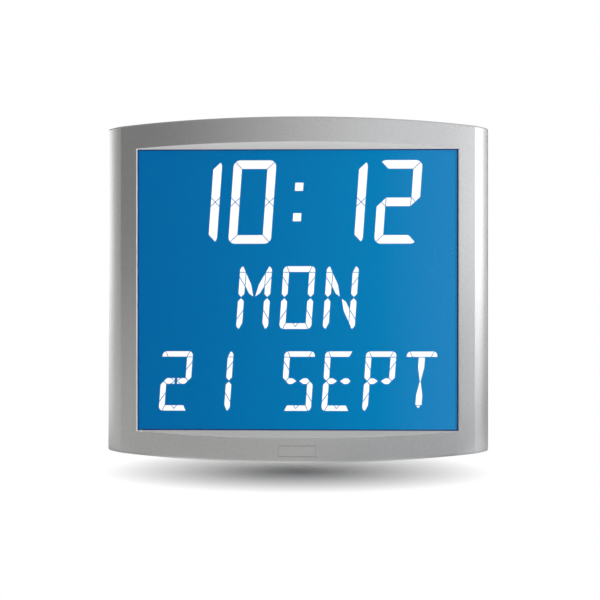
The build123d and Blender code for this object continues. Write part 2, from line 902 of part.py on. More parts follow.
def letter_drawings(text, width, height, pitch, row_shift, row_z):
    """Cells and outlines of a row of letters, set about the middle of the display."""
    drawings = []
    for place, letter in enumerate(text):
        middle_x = row_shift + (place - (len(text) - 1) / 2) * pitch
        for segment in lit_letters[letter]:
            for outline in letter_outline_shares[segment]:
                drawings.append(((width, height, middle_x, row_z), outline))
    return drawings


def time_drawings(text):
    """Cells and outlines of two pairs of digits and the two squares between them."""
    drawings = []
    outlines = time_outline_shares()
    pair_offset = (colon_gap + time_cell_width + time_pitch) / 2
    for place, digit in enumerate(text):
        pair_side = 1 if place > 1 else -1
        digit_side = 1 if place % 2 else -1
        middle_x = time_row_shift + pair_side * pair_offset + digit_side * time_pitch / 2
        cell = (time_cell_width, time_cell_height, middle_x, time_row_z)
        for segment in lit_digits[digit]:
            drawings.append((cell, outlines[segment]))
    square_shares = [[(0, 0)], [(1, 0)], [(1, 1)], [(0, 1)]]
    for level in (-1, 1):
        middle_x = time_row_shift + level * slant_share * colon_offset
        middle_z = time_row_z + level * colon_offset
        drawings.append(((colon_size, colon_size, middle_x, middle_z), square_shares))
    return drawings


time_segments = make_segments(time_drawings(time_text))
weekday_segments = make_segments(
    letter_drawings(
        weekday_text,
        weekday_cell_width,
        weekday_cell_height,
        weekday_pitch,
        0,
        weekday_row_z,
    )
)
date_segments = make_segments(
    letter_drawings(
        date_text, date_cell_width, date_cell_height, date_pitch, date_row_shift, date_row_z
    )
)


# Backlight: an upright strip of LEDs at each end of the light guide, standing on the board
led_tab_zs = [
    window_middle + (place - (led_tab_count - 1) / 2) * led_tab_pitch
    for place in range(led_tab_count)
]
guide_middle_y = (diffuser_rear_y + guide_rear_y) / 2
led_tab_length = board_front_y - guide_rear_y


def make_led_bar(side):
    """The strip at one side, with tabs that reach back to the board."""
    with BuildPart() as bar:
        with BuildSketch(Plane.YZ.offset(side * led_bar_x)):
            with Locations((guide_middle_y, window_middle)):
                Rectangle(guide_thickness, led_bar_length)
            with Locations(*[(guide_rear_y + led_tab_length / 2, z) for z in led_tab_zs]):
                Rectangle(led_tab_length, led_tab_height)
        extrude(amount=side * led_bar_thickness)
    return bar


def make_leds(side):
    """The LEDs on one strip, facing the edge of the light guide."""
    with BuildPart() as leds:
        with BuildSketch(Plane.YZ.offset(side * led_bar_x)):
            with Locations((guide_middle_y, window_middle)):
                with GridLocations(led_width, led_pitch, 1, led_count):
                    Rectangle(led_width, led_height)
        extrude(amount=-side * led_depth)
    return leds


led_bars = {"left": make_led_bar(-1), "right": make_led_bar(1)}
backlight_leds = {"left": make_leds(-1), "right": make_leds(1)}

# Display carrier: a plate with rails round the stack, slots, standoffs and screw lugs
frame_rail_front_y = glass_front_y + fit_gap
frame_side_front_y = bow_y(frame_width / 2, bezel_wall) + 2 * running_gap
frame_rail_z = (frame_inner_height + frame_wall) / 2
frame_side_x = (frame_inner_width + frame_wall) / 2
led_slot_x = led_bar_x + led_bar_thickness / 2
with BuildPart() as display_frame:
    with BuildSketch(facing(frame_rear_y)):
        with Locations((0, window_middle)):
            Rectangle(frame_width, frame_height)
            with GridLocations(
                frame_screw_pitch, frame_height + frame_lug_height, 3, 2
            ):
                Rectangle(frame_lug_width, frame_lug_height)
            with GridLocations(2 * contact_strip_z, 2 * contact_strip_z, 1, 2):
                Rectangle(
                    contact_strip_length + 2 * running_gap,
                    contact_strip_thickness + 2 * running_gap,
                    mode=Mode.SUBTRACT,
                )
            with GridLocations(2 * led_slot_x, led_tab_pitch, 2, led_tab_count):
                Rectangle(
                    led_bar_thickness + 2 * running_gap,
                    led_tab_height + 2 * running_gap,
                    mode=Mode.SUBTRACT,
                )
        with Locations(*frame_screw_places):
            Circle(frame_screw_radius + fit_gap, mode=Mode.SUBTRACT)
    extrude(amount=frame_plate)
    with BuildSketch(facing(reflector_rear_y)):
        with Locations((0, window_middle)):
            with GridLocations(2 * frame_side_x, frame_height, 2, 1):
                Rectangle(frame_wall, frame_height)
    extrude(amount=reflector_rear_y - frame_side_front_y)
    with BuildSketch(facing(reflector_rear_y)):
        with Locations((0, window_middle)):
            with GridLocations(window_width, 2 * frame_rail_z, 1, 2):
                Rectangle(window_width, frame_wall)
    extrude(amount=reflector_rear_y - frame_rail_front_y)
    with BuildSketch(facing(board_front_y)):
        with Locations(*board_screw_places):
            Circle(standoff_radius)
    extrude(amount=standoff_height)
    with BuildSketch(facing(board_front_y)):
        with Locations(*board_screw_places):
            Circle(board_screw_radius + thread_gap)
    extrude(
        amount=board_screw_length - board_thickness + screw_end_room, mode=Mode.SUBTRACT
    )


def make_contact_strip(side):
    """An elastomer strip between a ledge of the front glass and the board."""
    with BuildPart() as strip:
        with BuildSketch(facing(board_front_y)):
            with Locations((0, window_middle + side * contact_strip_z)):
                Rectangle(contact_strip_length, contact_strip_thickness)
        extrude(amount=board_front_y - cell_front_y)
    return strip


contact_strips = {"bottom": make_contact_strip(-1), "top": make_contact_strip(1)}

# Main board
with BuildPart() as main_board:
    with BuildSketch(facing(board_rear_y)):
        with Locations((0, window_middle)):
            Rectangle(frame_width, frame_height)
        with Locations(*board_screw_places):
            Circle(board_screw_radius + fit_gap, mode=Mode.SUBTRACT)
    extrude(amount=board_thickness)


def on_board(x, z):
    """A place on the board, measured from its middle."""
    return (x, window_middle + z)


def make_chips(places):
    """Square chips with a row of leads on every side."""
    lead_row = chip_size + chip_lead_length
    with BuildPart() as chips:
        with BuildSketch(facing(board_rear_y + chip_height)):
            with Locations(*places):
                Rectangle(chip_size, chip_size)
        extrude(amount=chip_height)
        with BuildSketch(facing(board_rear_y + chip_lead_thickness)):
            with Locations(*places):
                with GridLocations(chip_lead_pitch, lead_row, chip_leads_per_side, 2):
                    Rectangle(chip_lead_width, chip_lead_length)
                with GridLocations(lead_row, chip_lead_pitch, 2, chip_leads_per_side):
                    Rectangle(chip_lead_length, chip_lead_width)
        extrude(amount=chip_lead_thickness)
    return chips


driver_chips = make_chips(
    [on_board(-driver_chip_x, driver_chip_z), on_board(driver_chip_x, driver_chip_z)]
)
microcontroller = make_chips([on_board(0, controller_z)])

# Quartz crystal: a flat metal can with round ends
with BuildPart() as quartz_crystal:
    with BuildSketch(facing(board_rear_y + crystal_height)):
        with Locations(on_board(crystal_x, controller_z)):
            SlotOverall(crystal_length, crystal_width)
    extrude(amount=crystal_height)

# Voltage regulator: a block with a metal tab at its top
with BuildPart() as voltage_regulator:
    with BuildSketch(facing(board_rear_y + regulator_height)):
        with Locations(on_board(regulator_x, regulator_z)):
            Rectangle(regulator_size, regulator_size)
    extrude(amount=regulator_height)
    with BuildSketch(facing(board_rear_y + regulator_tab_thickness)):
        with Locations(
            on_board(regulator_x, regulator_z + (regulator_size + regulator_tab_length) / 2)
        ):
            Rectangle(regulator_size, regulator_tab_length)
    extrude(amount=regulator_tab_thickness)

# Filter capacitors: round cans on square bases
capacitor_places = [
    on_board(capacitor_x, capacitor_z),
    on_board(capacitor_x + capacitor_pitch, capacitor_z),
]
with BuildPart() as filter_capacitors:
    with BuildSketch(facing(board_rear_y + capacitor_height)):
        with Locations(*capacitor_places):
            Circle(capacitor_radius)
    extrude(amount=capacitor_height)
    fillet(filter_capacitors.edges().group_by(Axis.Y)[-1], capacitor_rim_radius)
    with BuildSketch(facing(board_rear_y + capacitor_base_height)):
        with Locations(*capacitor_places):
            Rectangle(capacitor_base_size, capacitor_base_size)
    extrude(amount=capacitor_base_height)

# Backup cell in its holder, which is open at the top to slide the cell out
holder_place = on_board(holder_x, holder_z)
cell_floor_y = board_rear_y + holder_floor
cell_top_y = cell_floor_y + backup_cell_height
holder_radius = backup_cell_radius + fit_gap + holder_wall
with BuildPart() as cell_holder:
    with BuildSketch(facing(cell_top_y)):
        with Locations(holder_place):
            Circle(holder_radius)
    extrude(amount=backup_cell_height + holder_floor)
    with BuildSketch(facing(cell_top_y)):
        with Locations(holder_place):
            Circle(backup_cell_radius + fit_gap)
        with Locations((holder_place[0], holder_place[1] + holder_radius / 2)):
            Rectangle(holder_mouth_width, holder_radius)
    extrude(amount=backup_cell_height, mode=Mode.SUBTRACT)
with BuildPart() as backup_cell:
    with BuildSketch(facing(cell_top_y)):
        with Locations(holder_place):
            Circle(backup_cell_radius)
    extrude(amount=backup_cell_height)

# Terminal block: a row of clamps with side mouths for the wires, and their screws
terminal_rear_y = board_rear_y + terminal_height
terminal_places = [
    (terminal_x + (place - (terminal_count - 1) / 2) * terminal_pitch, cable_middle)
    for place in range(terminal_count)
]
terminal_mouth_y = board_rear_y + terminal_mouth_floor
with BuildPart() as terminal_block:
    with BuildSketch(facing(terminal_rear_y)):
        with Locations((terminal_x, cable_middle)):
            Rectangle(terminal_count * terminal_pitch, terminal_depth)
    extrude(amount=terminal_height)
    with BuildSketch(Plane.XY.offset(cable_middle - terminal_depth / 2)):
        with Locations(
            *[(x, terminal_mouth_y + terminal_mouth_height / 2) for x, z in terminal_places]
        ):
            Rectangle(terminal_mouth_width, terminal_mouth_height)
    extrude(amount=terminal_mouth_length, mode=Mode.SUBTRACT)
    with BuildSketch(facing(terminal_rear_y)):
        with Locations(*terminal_places):
            Circle(terminal_screw_radius + fit_gap)
    extrude(amount=terminal_screw_height, mode=Mode.SUBTRACT)
with BuildPart() as terminal_screws:
    with BuildSketch(facing(terminal_rear_y)):
        with Locations(*terminal_places):
            Circle(terminal_screw_radius)
    extrude(amount=terminal_screw_height)
    with BuildSketch(facing(terminal_rear_y)):
        with Locations(*terminal_places):
            Rectangle(terminal_slot_width, 2 * terminal_screw_radius)
    extrude(amount=terminal_slot_depth, mode=Mode.SUBTRACT)

# Every piece by its name
pieces = {
    "front_bezel": front_bezel,
    "badge_plate": badge_plate,
    "rear_cover": rear_cover,
    "case_screws": case_screws,
    "cable_grommet": cable_grommet,
    "wall_bracket": wall_bracket,
    "mode_button": buttons["mode"],
    "set_button": buttons["set"],
    "mode_switch_plunger": plungers["mode"],
    "set_switch_plunger": plungers["set"],
    "switch_housings": switch_housings,
    "window_gasket": window_gasket,
    "front_polariser": front_polariser,
    "lcd_front_glass": lcd_front_glass,
    "time_segments": time_segments,
    "weekday_segments": weekday_segments,
    "date_segments": date_segments,
    "cell_seal": cell_seal,
    "lcd_rear_glass": lcd_rear_glass,
    "rear_polariser": rear_polariser,
    "diffuser_sheet": diffuser_sheet,
    "light_guide": light_guide,
    "reflector_sheet": reflector_sheet,
    "led_bar_left": led_bars["left"],
    "led_bar_right": led_bars["right"],
    "backlight_leds_left": backlight_leds["left"],
    "backlight_leds_right": backlight_leds["right"],
    "display_frame": display_frame,
    "frame_screws": frame_screws,
    "contact_strip_bottom": contact_strips["bottom"],
    "contact_strip_top": contact_strips["top"],
    "main_board": main_board,
    "board_screws": board_screws,
    "driver_chips": driver_chips,
    "microcontroller": microcontroller,
    "quartz_crystal": quartz_crystal,
    "voltage_regulator": voltage_regulator,
    "filter_capacitors": filter_capacitors,
    "cell_holder": cell_holder,
    "backup_cell": backup_cell,
    "terminal_block": terminal_block,
    "terminal_screws": terminal_screws,
}
os.makedirs("parts", exist_ok=True)
for name, piece in pieces.items():
    piece.part.label = name
    export_step(piece.part, f"parts/{name}.step")
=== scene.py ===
"""Looks for the digital clock: finishes on its pieces, a white studio and the photograph's camera."""

import json
import math

import bpy
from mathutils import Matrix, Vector


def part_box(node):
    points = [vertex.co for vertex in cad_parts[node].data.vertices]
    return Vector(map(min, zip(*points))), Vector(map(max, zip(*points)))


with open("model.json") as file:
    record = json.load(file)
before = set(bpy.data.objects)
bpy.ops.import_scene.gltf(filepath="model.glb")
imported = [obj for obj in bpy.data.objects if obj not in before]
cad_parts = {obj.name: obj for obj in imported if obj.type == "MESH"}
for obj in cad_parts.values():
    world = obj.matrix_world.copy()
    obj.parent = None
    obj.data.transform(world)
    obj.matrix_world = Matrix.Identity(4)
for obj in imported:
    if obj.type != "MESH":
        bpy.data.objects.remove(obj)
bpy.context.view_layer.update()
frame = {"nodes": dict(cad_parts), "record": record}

WHITE = (1.0, 1.0, 1.0)

# The photograph's camera
IMAGE_SIZE = 600
FOCAL_PIXELS = 600.3
SENSOR_WIDTH = 36.0
CAMERA_DISTANCE = 0.5
CAMERA_TURN = math.radians(0.6)
DISPLAY_MIDDLE_PIXEL = (297.4, 289.85)

# Studio
CLOCK_FOOT = (0.0, 0.0, 0.0)
CLOCK_MIDDLE = (0.0, 0.0, 0.137)
WINDOW_TOP = (0.05, 0.0, 0.25)
FLOOR_HALF_SIZE = 4.0
FLOOR_DROP = 0.0002
FLOOR_COLOUR = (0.9, 0.9, 0.9)
FRONT_SHADOW = {"middle": -0.0487, "half_width": 0.145, "reach_front": 0.049, "reach_back": 0.062}
REAR_SHADOW = {"middle": 0.05, "half_width": 0.17, "reach_front": 0.04, "reach_back": 0.16}
SHADOW_SOFTNESS = 1.4
AMBIENT_LEVEL = 0.15

# What polished pieces mirror round the clock: degrees to the right of the camera, and level
STUDIO_LEVELS = [
    (-180, 1.0),
    (-150, 1.2),
    (-125, 4.2),
    (-104, 5.2),
    (-92, 1.15),
    (-74, 0.32),
    (-60, 0.15),
    (-38, 0.2),
    (-17, 0.42),
    (0, 0.75),
    (30, 1.31),
    (47, 1.22),
    (57, 1.05),
    (67, 2.6),
    (74, 4.0),
    (83, 5.0),
    (90, 0.45),
    (97, 0.08),
    (130, 0.15),
    (160, 0.8),
    (180, 1.0),
]
# Tints of what is mirrored from the left and from the right
WARM_SHADE = (1.0, 0.998, 0.975)
COOL_SHADE = (0.985, 1.0, 1.02)

# The ceiling, by the parts of a unit direction: where it takes over upwards and changes sideways
CEILING_START = (0.3, 0.55)
CEILING_SIDES = (-0.5, 0.5)
CEILING_LEVELS = (0.35, 1.1)

# The floor near the clock, seen from a little behind the clock's middle: pale, and brighter at the sides
FLOOR_VIEWPOINT = 0.05
FLOOR_LEVELS = [
    (-180, 0.8),
    (-125, 1.95),
    (-105, 2.3),
    (-89, 1.7),
    (-82, 1.05),
    (-74, 0.92),
    (-66, 0.7),
    (-25, 0.67),
    (0, 0.66),
    (25, 0.48),
    (45, 0.5),
    (65, 0.56),
    (72, 1.25),
    (79, 0.62),
    (87, 0.28),
    (115, 0.25),
    (180, 0.8),
]
# The floor further off, which takes over between these distances from the clock's foot, in metres
FAR_FLOOR = (0.22, 0.75)
FAR_FLOOR_LEVELS = [
    (-180, 0.8),
    (-125, 2.2),
    (-101, 2.7),
    (-91, 0.8),
    (-74, 0.78),
    (-66, 0.64),
    (-25, 0.62),
    (0, 0.66),
    (25, 0.46),
    (45, 0.37),
    (62, 0.37),
    (69, 1.9),
    (75, 2.5),
    (82, 1.7),
    (89, 0.45),
    (115, 0.25),
    (180, 0.8),
]
# The strip of floor along the bowed front, which the lower rim mirrors: the curve of the bow, the
# strip's edge, where it changes towards the sides, and its gain in the middle and at the ends
FRONT_BOW = 1.235
RIM_STRIP = (-0.0335, -0.031)
RIM_ENDS = (0.09, 0.13)
RIM_GAINS = (1.7, 0.75)

# Silver paint on the bezel and its badge; inside the window the reveal's same silver paint is drawn
# near-white and matt, a painted reflection of the bright light it shows
SILVER = (0.425, 0.425, 0.427)
SILVER_METALLIC = 0.85
FLAKE_SCALE = 2600.0
PEEL_SCALE = 900.0
PEEL_DETAIL = 4.0
PAINT_TONES = (0.2, 0.8)
# Near-white of the reveal: a painted reflection standing in for its silver paint's bright sheen
REVEAL_PAINTED_SHEEN = (0.9, 0.9, 0.89)
REVEAL_MARGIN = 0.001
REVEAL_MATTNESS = 0.3
BADGE_LINE = 0.0006

# The display's blue by its share of the width from the left: a painted reflection makes it brighter and
# paler to the right, and the last two stops paint a shadow along the right edge; then the dark border round
# it, partly the film's edge and partly painted shade
BLUE_WITH_PAINTED_LIGHT_STOPS = [
    (0.0, (0.0, 0.124, 0.345)),
    (0.2, (0.0, 0.136, 0.366)),
    (0.5, (0.0, 0.167, 0.417)),
    (0.76, (0.0, 0.2, 0.466)),
    (0.88, (0.009, 0.215, 0.496)),
    # These two stops paint a shadow along the display's right edge
    (0.988, (0.016, 0.223, 0.503)),
    (0.997, (0.012, 0.155, 0.345)),
]
# Colour and width of the dark border: partly the film's edge, partly painted shade
BORDER_AND_SHADE_BLUE = (0.01, 0.012, 0.1)
BORDER_AND_SHADE_WIDTH = 0.0008

# Pieces whose glow is kept off the floor and the bezel
GLOWING_NODES = ("lcd_rear_glass", "time_segments", "weekday_segments", "date_segments")

# Where most values of a noise lie
NOISE_SPAN = (0.3, 0.7)


def scaled(colour, factor):
    return tuple(factor * part for part in colour)


class Nodes:
    """A shader's node tree, with short names for the nodes it needs."""

    def __init__(self, tree, coordinates):
        self.tree = tree
        source = self.node("ShaderNodeTexCoord")
        self.place = source.outputs[coordinates]
        self.normal = source.outputs["Normal"]

    def node(self, kind, **settings):
        made = self.tree.nodes.new(kind)
        for name, value in settings.items():
            setattr(made, name, value)
        return made

    def join(self, source, target):
        if isinstance(source, bpy.types.NodeSocket):
            self.tree.links.new(source, target)
        else:
            target.default_value = source

    def noise(self, scale, detail=2.0, stretch=(1.0, 1.0, 1.0)):
        """Noise whose grain is 1 / scale metres wide, drawn out by stretch."""
        mapping = self.node("ShaderNodeMapping")
        self.join(self.place, mapping.inputs["Vector"])
        mapping.inputs["Scale"].default_value = stretch
        made = self.node("ShaderNodeTexNoise")
        self.join(mapping.outputs["Vector"], made.inputs["Vector"])
        made.inputs["Scale"].default_value = scale
        made.inputs["Detail"].default_value = detail
        return made.outputs["Fac"]

    def cells(self, scale):
        """A random value in each of many small cells, as of metal flakes."""
        made = self.node("ShaderNodeTexVoronoi")
        self.join(self.place, made.inputs["Vector"])
        made.inputs["Scale"].default_value = scale
        split = self.node("ShaderNodeSeparateColor")
        self.join(made.outputs["Color"], split.inputs["Color"])
        return split.outputs["Red"]

    def reach(self, vector, axis):
        split = self.node("ShaderNodeSeparateXYZ")
        self.join(vector, split.inputs["Vector"])
        return split.outputs[axis]

    def along(self, axis):
        """A place's metres along one axis of the object, or a direction's part along it in the world."""
        return self.reach(self.place, axis)

    def edgewise(self, axis, limit=0.5):
        """One where the surface runs along an axis rather than facing along it, else zero."""
        facing = self.math("ABSOLUTE", self.reach(self.normal, axis))
        return self.math("LESS_THAN", facing, limit)

    def inside(self, node, inset):
        """One where the place lies inside a node's outline from the front, less an inset, else zero."""
        low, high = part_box(node)
        depths = []
        for axis, near, far in (("X", low.x, high.x), ("Z", low.z, high.z)):
            offset = self.math("SUBTRACT", self.along(axis), (near + far) / 2)
            depths.append(self.math("SUBTRACT", (far - near) / 2, self.math("ABSOLUTE", offset)))
        return self.math("GREATER_THAN", self.math("MINIMUM", *depths), inset)

    def math(self, operation, first, second=0.0, third=0.0):
        made = self.node("ShaderNodeMath", operation=operation)
        for source, target in zip((first, second, third), made.inputs):
            self.join(source, target)
        return made.outputs["Value"]

    def average(self, first, second, share):
        """The average of two values, in which the first has a share and the second the rest."""
        rest = self.math("MULTIPLY", second, 1.0 - share)
        return self.math("MULTIPLY_ADD", first, share, rest)

    def span(self, value, low, high, to_low=0.0, to_high=1.0):
        """A value between low and high, moved to between to_low and to_high."""
        made = self.node("ShaderNodeMapRange")
        names = ("Value", "From Min", "From Max", "To Min", "To Max")
        for name, source in zip(names, (value, low, high, to_low, to_high)):
            self.join(source, made.inputs[name])
        return made.outputs["Result"]

    def mix(self, factor, first, second, blend_type="MIX"):
        made = self.node("ShaderNodeMix", data_type="RGBA", blend_type=blend_type)
        self.join(factor, made.inputs["Factor"])
        for name, source in (("A", first), ("B", second)):
            socket = next(s for s in made.inputs if s.name == name and s.type == "RGBA")
            self.join(source if isinstance(source, bpy.types.NodeSocket) else (*source, 1.0), socket)
        return next(s for s in made.outputs if s.type == "RGBA")

    def ramp(self, factor, stops):
        """A colour ramp through (place, colour) stops."""
        made = self.node("ShaderNodeValToRGB")
        self.join(factor, made.inputs["Fac"])
        elements = made.color_ramp.elements
        while len(elements) < len(stops):
            elements.new(1.0)
        for element, (place, colour) in zip(elements, stops):
            element.position = place
            element.color = (*colour, 1.0)
        return made.outputs["Color"]

    def shades(self, tone, colour, darkest, lightest, tones=NOISE_SPAN):
        """A colour in shades from darkest to lightest, as a tone goes from one value to the other."""
        first, last = tones
        return self.ramp(tone, [(first, scaled(colour, darkest)), (last, scaled(colour, lightest))])

    def surroundings(self, levels, behind=0.0, gain=1.0):
        """The light of each direction from a point behind the clock's middle, by (degrees, level) stops."""
        forward = self.math("SUBTRACT", behind, self.along("Y"))
        turn = self.math("ARCTAN2", self.along("X"), forward)
        most = max(level for angle, level in levels)
        stops = [
            ((angle + 180) / 360, scaled(COOL_SHADE if angle > 0 else WARM_SHADE, level / most))
            for angle, level in levels
        ]
        light = self.node("ShaderNodeVectorMath", operation="SCALE")
        self.join(self.ramp(self.span(turn, -math.pi, math.pi), stops), light.inputs["Vector"])
        self.join(self.math("MULTIPLY", gain, most), light.inputs["Scale"])
        return light.outputs["Vector"]

    def seen_rays(self):
        """One for the camera's own rays, and one for those off a mirror or through glass, else zeros."""
        path = self.node("ShaderNodeLightPath")
        mirrored = self.math("MAXIMUM", path.outputs["Is Glossy Ray"], path.outputs["Is Transmission Ray"])
        return path.outputs["Is Camera Ray"], mirrored


class Finish(Nodes):
    """A procedural material round one Principled shader."""

    def __init__(self, name, **sockets):
        self.name = name
        self.material = bpy.data.materials.new(name)
        self.material.use_nodes = True
        super().__init__(self.material.node_tree, "Object")
        self.shader = self.tree.nodes["Principled BSDF"]
        for socket, value in sockets.items():
            self.shader.inputs[socket.replace("_", " ")].default_value = value

    def feed(self, socket, source):
        self.join(source, self.shader.inputs[socket])

    def roughen(self, tone, low, high):
        """Let the roughness follow a noise."""
        self.feed("Roughness", self.span(tone, *NOISE_SPAN, low, high))

    def bump(self, height, distance, strength=1.0):
        made = self.node("ShaderNodeBump")
        self.join(height, made.inputs["Height"])
        made.inputs["Distance"].default_value = distance
        made.inputs["Strength"].default_value = strength
        self.feed("Normal", made.outputs["Normal"])


def silver_paint(name):
    """Satin metallic paint with fine flakes and a faint orange peel; inside the window it is drawn matt and
    near-white, a painted reflection of the bright light the reveal's paint shows.
    """
    finish = Finish(name)
    opening = finish.inside("front_polariser", inset=-REVEAL_MARGIN)
    window = finish.math("MULTIPLY", opening, finish.edgewise("Y"))
    flakes = finish.cells(FLAKE_SCALE)
    cloud = finish.noise(scale=700.0, detail=3.0)
    tone = finish.average(flakes, cloud, share=0.45)
    paint = finish.shades(tone, SILVER, darkest=0.88, lightest=1.12, tones=PAINT_TONES)
    # Painted reflection: the reveal drawn near-white and matt in place of its bright silver sheen
    plain = finish.shades(tone, REVEAL_PAINTED_SHEEN, darkest=0.96, lightest=1.04, tones=PAINT_TONES)
    finish.feed("Base Color", finish.mix(window, paint, plain))
    finish.feed("Metallic", finish.span(window, 0.0, 1.0, to_low=SILVER_METALLIC, to_high=0.0))
    satin = finish.span(cloud, *NOISE_SPAN, to_low=0.29, to_high=0.36)
    finish.feed("Roughness", finish.math("MULTIPLY_ADD", window, REVEAL_MATTNESS, satin))
    finish.bump(finish.noise(PEEL_SCALE, PEEL_DETAIL), distance=0.00004)
    return finish


def badge_metal(name):
    """The blank badge: the same silver, with a darker line round its edge."""
    finish = Finish(name, Metallic=SILVER_METALLIC, Roughness=0.33)
    plate = finish.inside("badge_plate", inset=BADGE_LINE)
    field = finish.shades(finish.cells(FLAKE_SCALE), WHITE, darkest=0.4, lightest=0.46, tones=(0.0, 1.0))
    line = scaled(WHITE, 0.36)
    finish.feed("Base Color", finish.mix(plate, line, field))
    finish.bump(finish.noise(PEEL_SCALE, PEEL_DETAIL), distance=0.00003)
    return finish


def display_blue(name):
    """The lit field of the display, with a painted reflection that makes it brighter and paler towards the
    right, a painted shadow along its last edge, and a dark border that is partly painted shade.
    """
    finish = Finish(name, Roughness=0.5, Specular_IOR_Level=0.05, Emission_Strength=1.14)
    low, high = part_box("front_polariser")
    # Painted reflection: the blue grows brighter and paler towards the right, with a painted shadow at the
    # right edge
    field = finish.ramp(finish.span(finish.along("X"), low.x, high.x), BLUE_WITH_PAINTED_LIGHT_STOPS)
    grain = finish.span(finish.noise(scale=1500.0, detail=3.0), *NOISE_SPAN)
    speckle = finish.mix(grain, scaled(WHITE, 0.97), scaled(WHITE, 1.03))
    lit = finish.mix(1.0, field, speckle, blend_type="MULTIPLY")
    # The dark border round the field is partly the film's edge and partly painted shade
    within = finish.inside("front_polariser", inset=BORDER_AND_SHADE_WIDTH)
    finish.feed("Emission Color", finish.mix(within, BORDER_AND_SHADE_BLUE, lit))
    finish.feed("Base Color", finish.mix(grain, (0.0, 0.004, 0.012), (0.0, 0.006, 0.016)))
    return finish


def segment_white(name):
    """A lit segment: near-white, with the faint unevenness of the light behind it."""
    finish = Finish(name, Roughness=0.5, Specular_IOR_Level=0.1, Emission_Strength=1.1)
    glow = finish.span(finish.noise(scale=60.0), *NOISE_SPAN)
    finish.feed("Emission Color", finish.mix(glow, (0.97, 0.985, 1.0), WHITE))
    finish.feed("Base Color", finish.mix(glow, scaled(WHITE, 0.1), scaled(WHITE, 0.12)))
    return finish


def clear_layer(name, alpha, roughness):
    """A clear film or glass with a matt anti-glare front, tinted a little blue."""
    finish = Finish(name, Alpha=alpha, Roughness=roughness, Specular_IOR_Level=0.3)
    haze = finish.noise(scale=2500.0, detail=3.0)
    finish.feed("Base Color", finish.mix(haze, (0.0, 0.012, 0.03), (0.0, 0.016, 0.04)))
    finish.bump(haze, distance=0.00001, strength=0.5)
    finish.material.blend_method = "BLEND"
    return finish


def moulded(name, colour, roughness=0.5, grain=1200.0, depth=0.00004, **sockets):
    """Moulded plastic or rubber with a fine spark-eroded texture."""
    finish = Finish(name, **sockets)
    texture = finish.noise(grain, detail=3.0)
    cloud = finish.noise(scale=25.0, detail=3.0)
    tone = finish.average(texture, cloud, share=0.5)
    finish.feed("Base Color", finish.shades(tone, colour, darkest=0.88, lightest=1.12))
    finish.roughen(cloud, low=roughness - 0.05, high=roughness + 0.05)
    finish.bump(texture, depth)
    return finish


def plated(name, colour, roughness=0.3, stretch=(1.0, 1.0, 1.0)):
    """Plated or drawn metal, with fine marks drawn out along one direction."""
    finish = Finish(name, Metallic=1.0)
    marks = finish.noise(scale=1800.0, detail=4.0, stretch=stretch)
    stain = finish.noise(scale=90.0, detail=3.0)
    tone = finish.average(marks, stain, share=0.6)
    finish.feed("Base Color", finish.shades(tone, colour, darkest=0.85, lightest=1.1))
    finish.roughen(marks, low=roughness - 0.06, high=roughness + 0.08)
    finish.bump(marks, distance=0.00001)
    return finish


def powder_coat(name, colour):
    """Powder-coated sheet steel with its fine orange peel."""
    finish = Finish(name, Metallic=0.0, Coat_Weight=0.15, Coat_Roughness=0.3)
    peel = finish.noise(scale=650.0, detail=1.0)
    speck = finish.cells(scale=3000.0)
    finish.feed("Base Color", finish.shades(speck, colour, darkest=0.92, lightest=1.08, tones=(0.0, 1.0)))
    finish.roughen(peel, low=0.42, high=0.52)
    finish.bump(peel, distance=0.00006)
    return finish


def solder_mask(name, colour):
    """Green laminate with copper runs under the mask."""
    finish = Finish(name, Coat_Weight=0.3, Coat_Roughness=0.2)
    runs = finish.node("ShaderNodeTexBrick", offset=0.35, squash=0.6)
    finish.join(finish.place, runs.inputs["Vector"])
    runs.inputs["Scale"].default_value = 90.0
    runs.inputs["Mortar Size"].default_value = 0.02
    weave = finish.noise(scale=1500.0, stretch=(1.0, 1.0, 3.0))
    tone = finish.average(weave, runs.outputs["Fac"], share=0.3)
    finish.feed("Base Color", finish.shades(tone, colour, darkest=1.0, lightest=1.9, tones=(0.1, 0.8)))
    finish.roughen(weave, low=0.35, high=0.45)
    finish.bump(tone, distance=0.00003)
    return finish


def striped(name, dark, light, pitch):
    """Elastomer with fine conducting stripes across its length."""
    finish = Finish(name)
    stripe = finish.math("FRACT", finish.math("DIVIDE", finish.along("X"), pitch))
    worn = finish.noise(scale=900.0)
    edge = finish.math("GREATER_THAN", stripe, finish.span(worn, 0.0, 1.0, to_low=0.4, to_high=0.6))
    finish.feed("Base Color", finish.mix(edge, dark, light))
    finish.roughen(worn, low=0.6, high=0.75)
    finish.bump(stripe, distance=0.00002)
    return finish


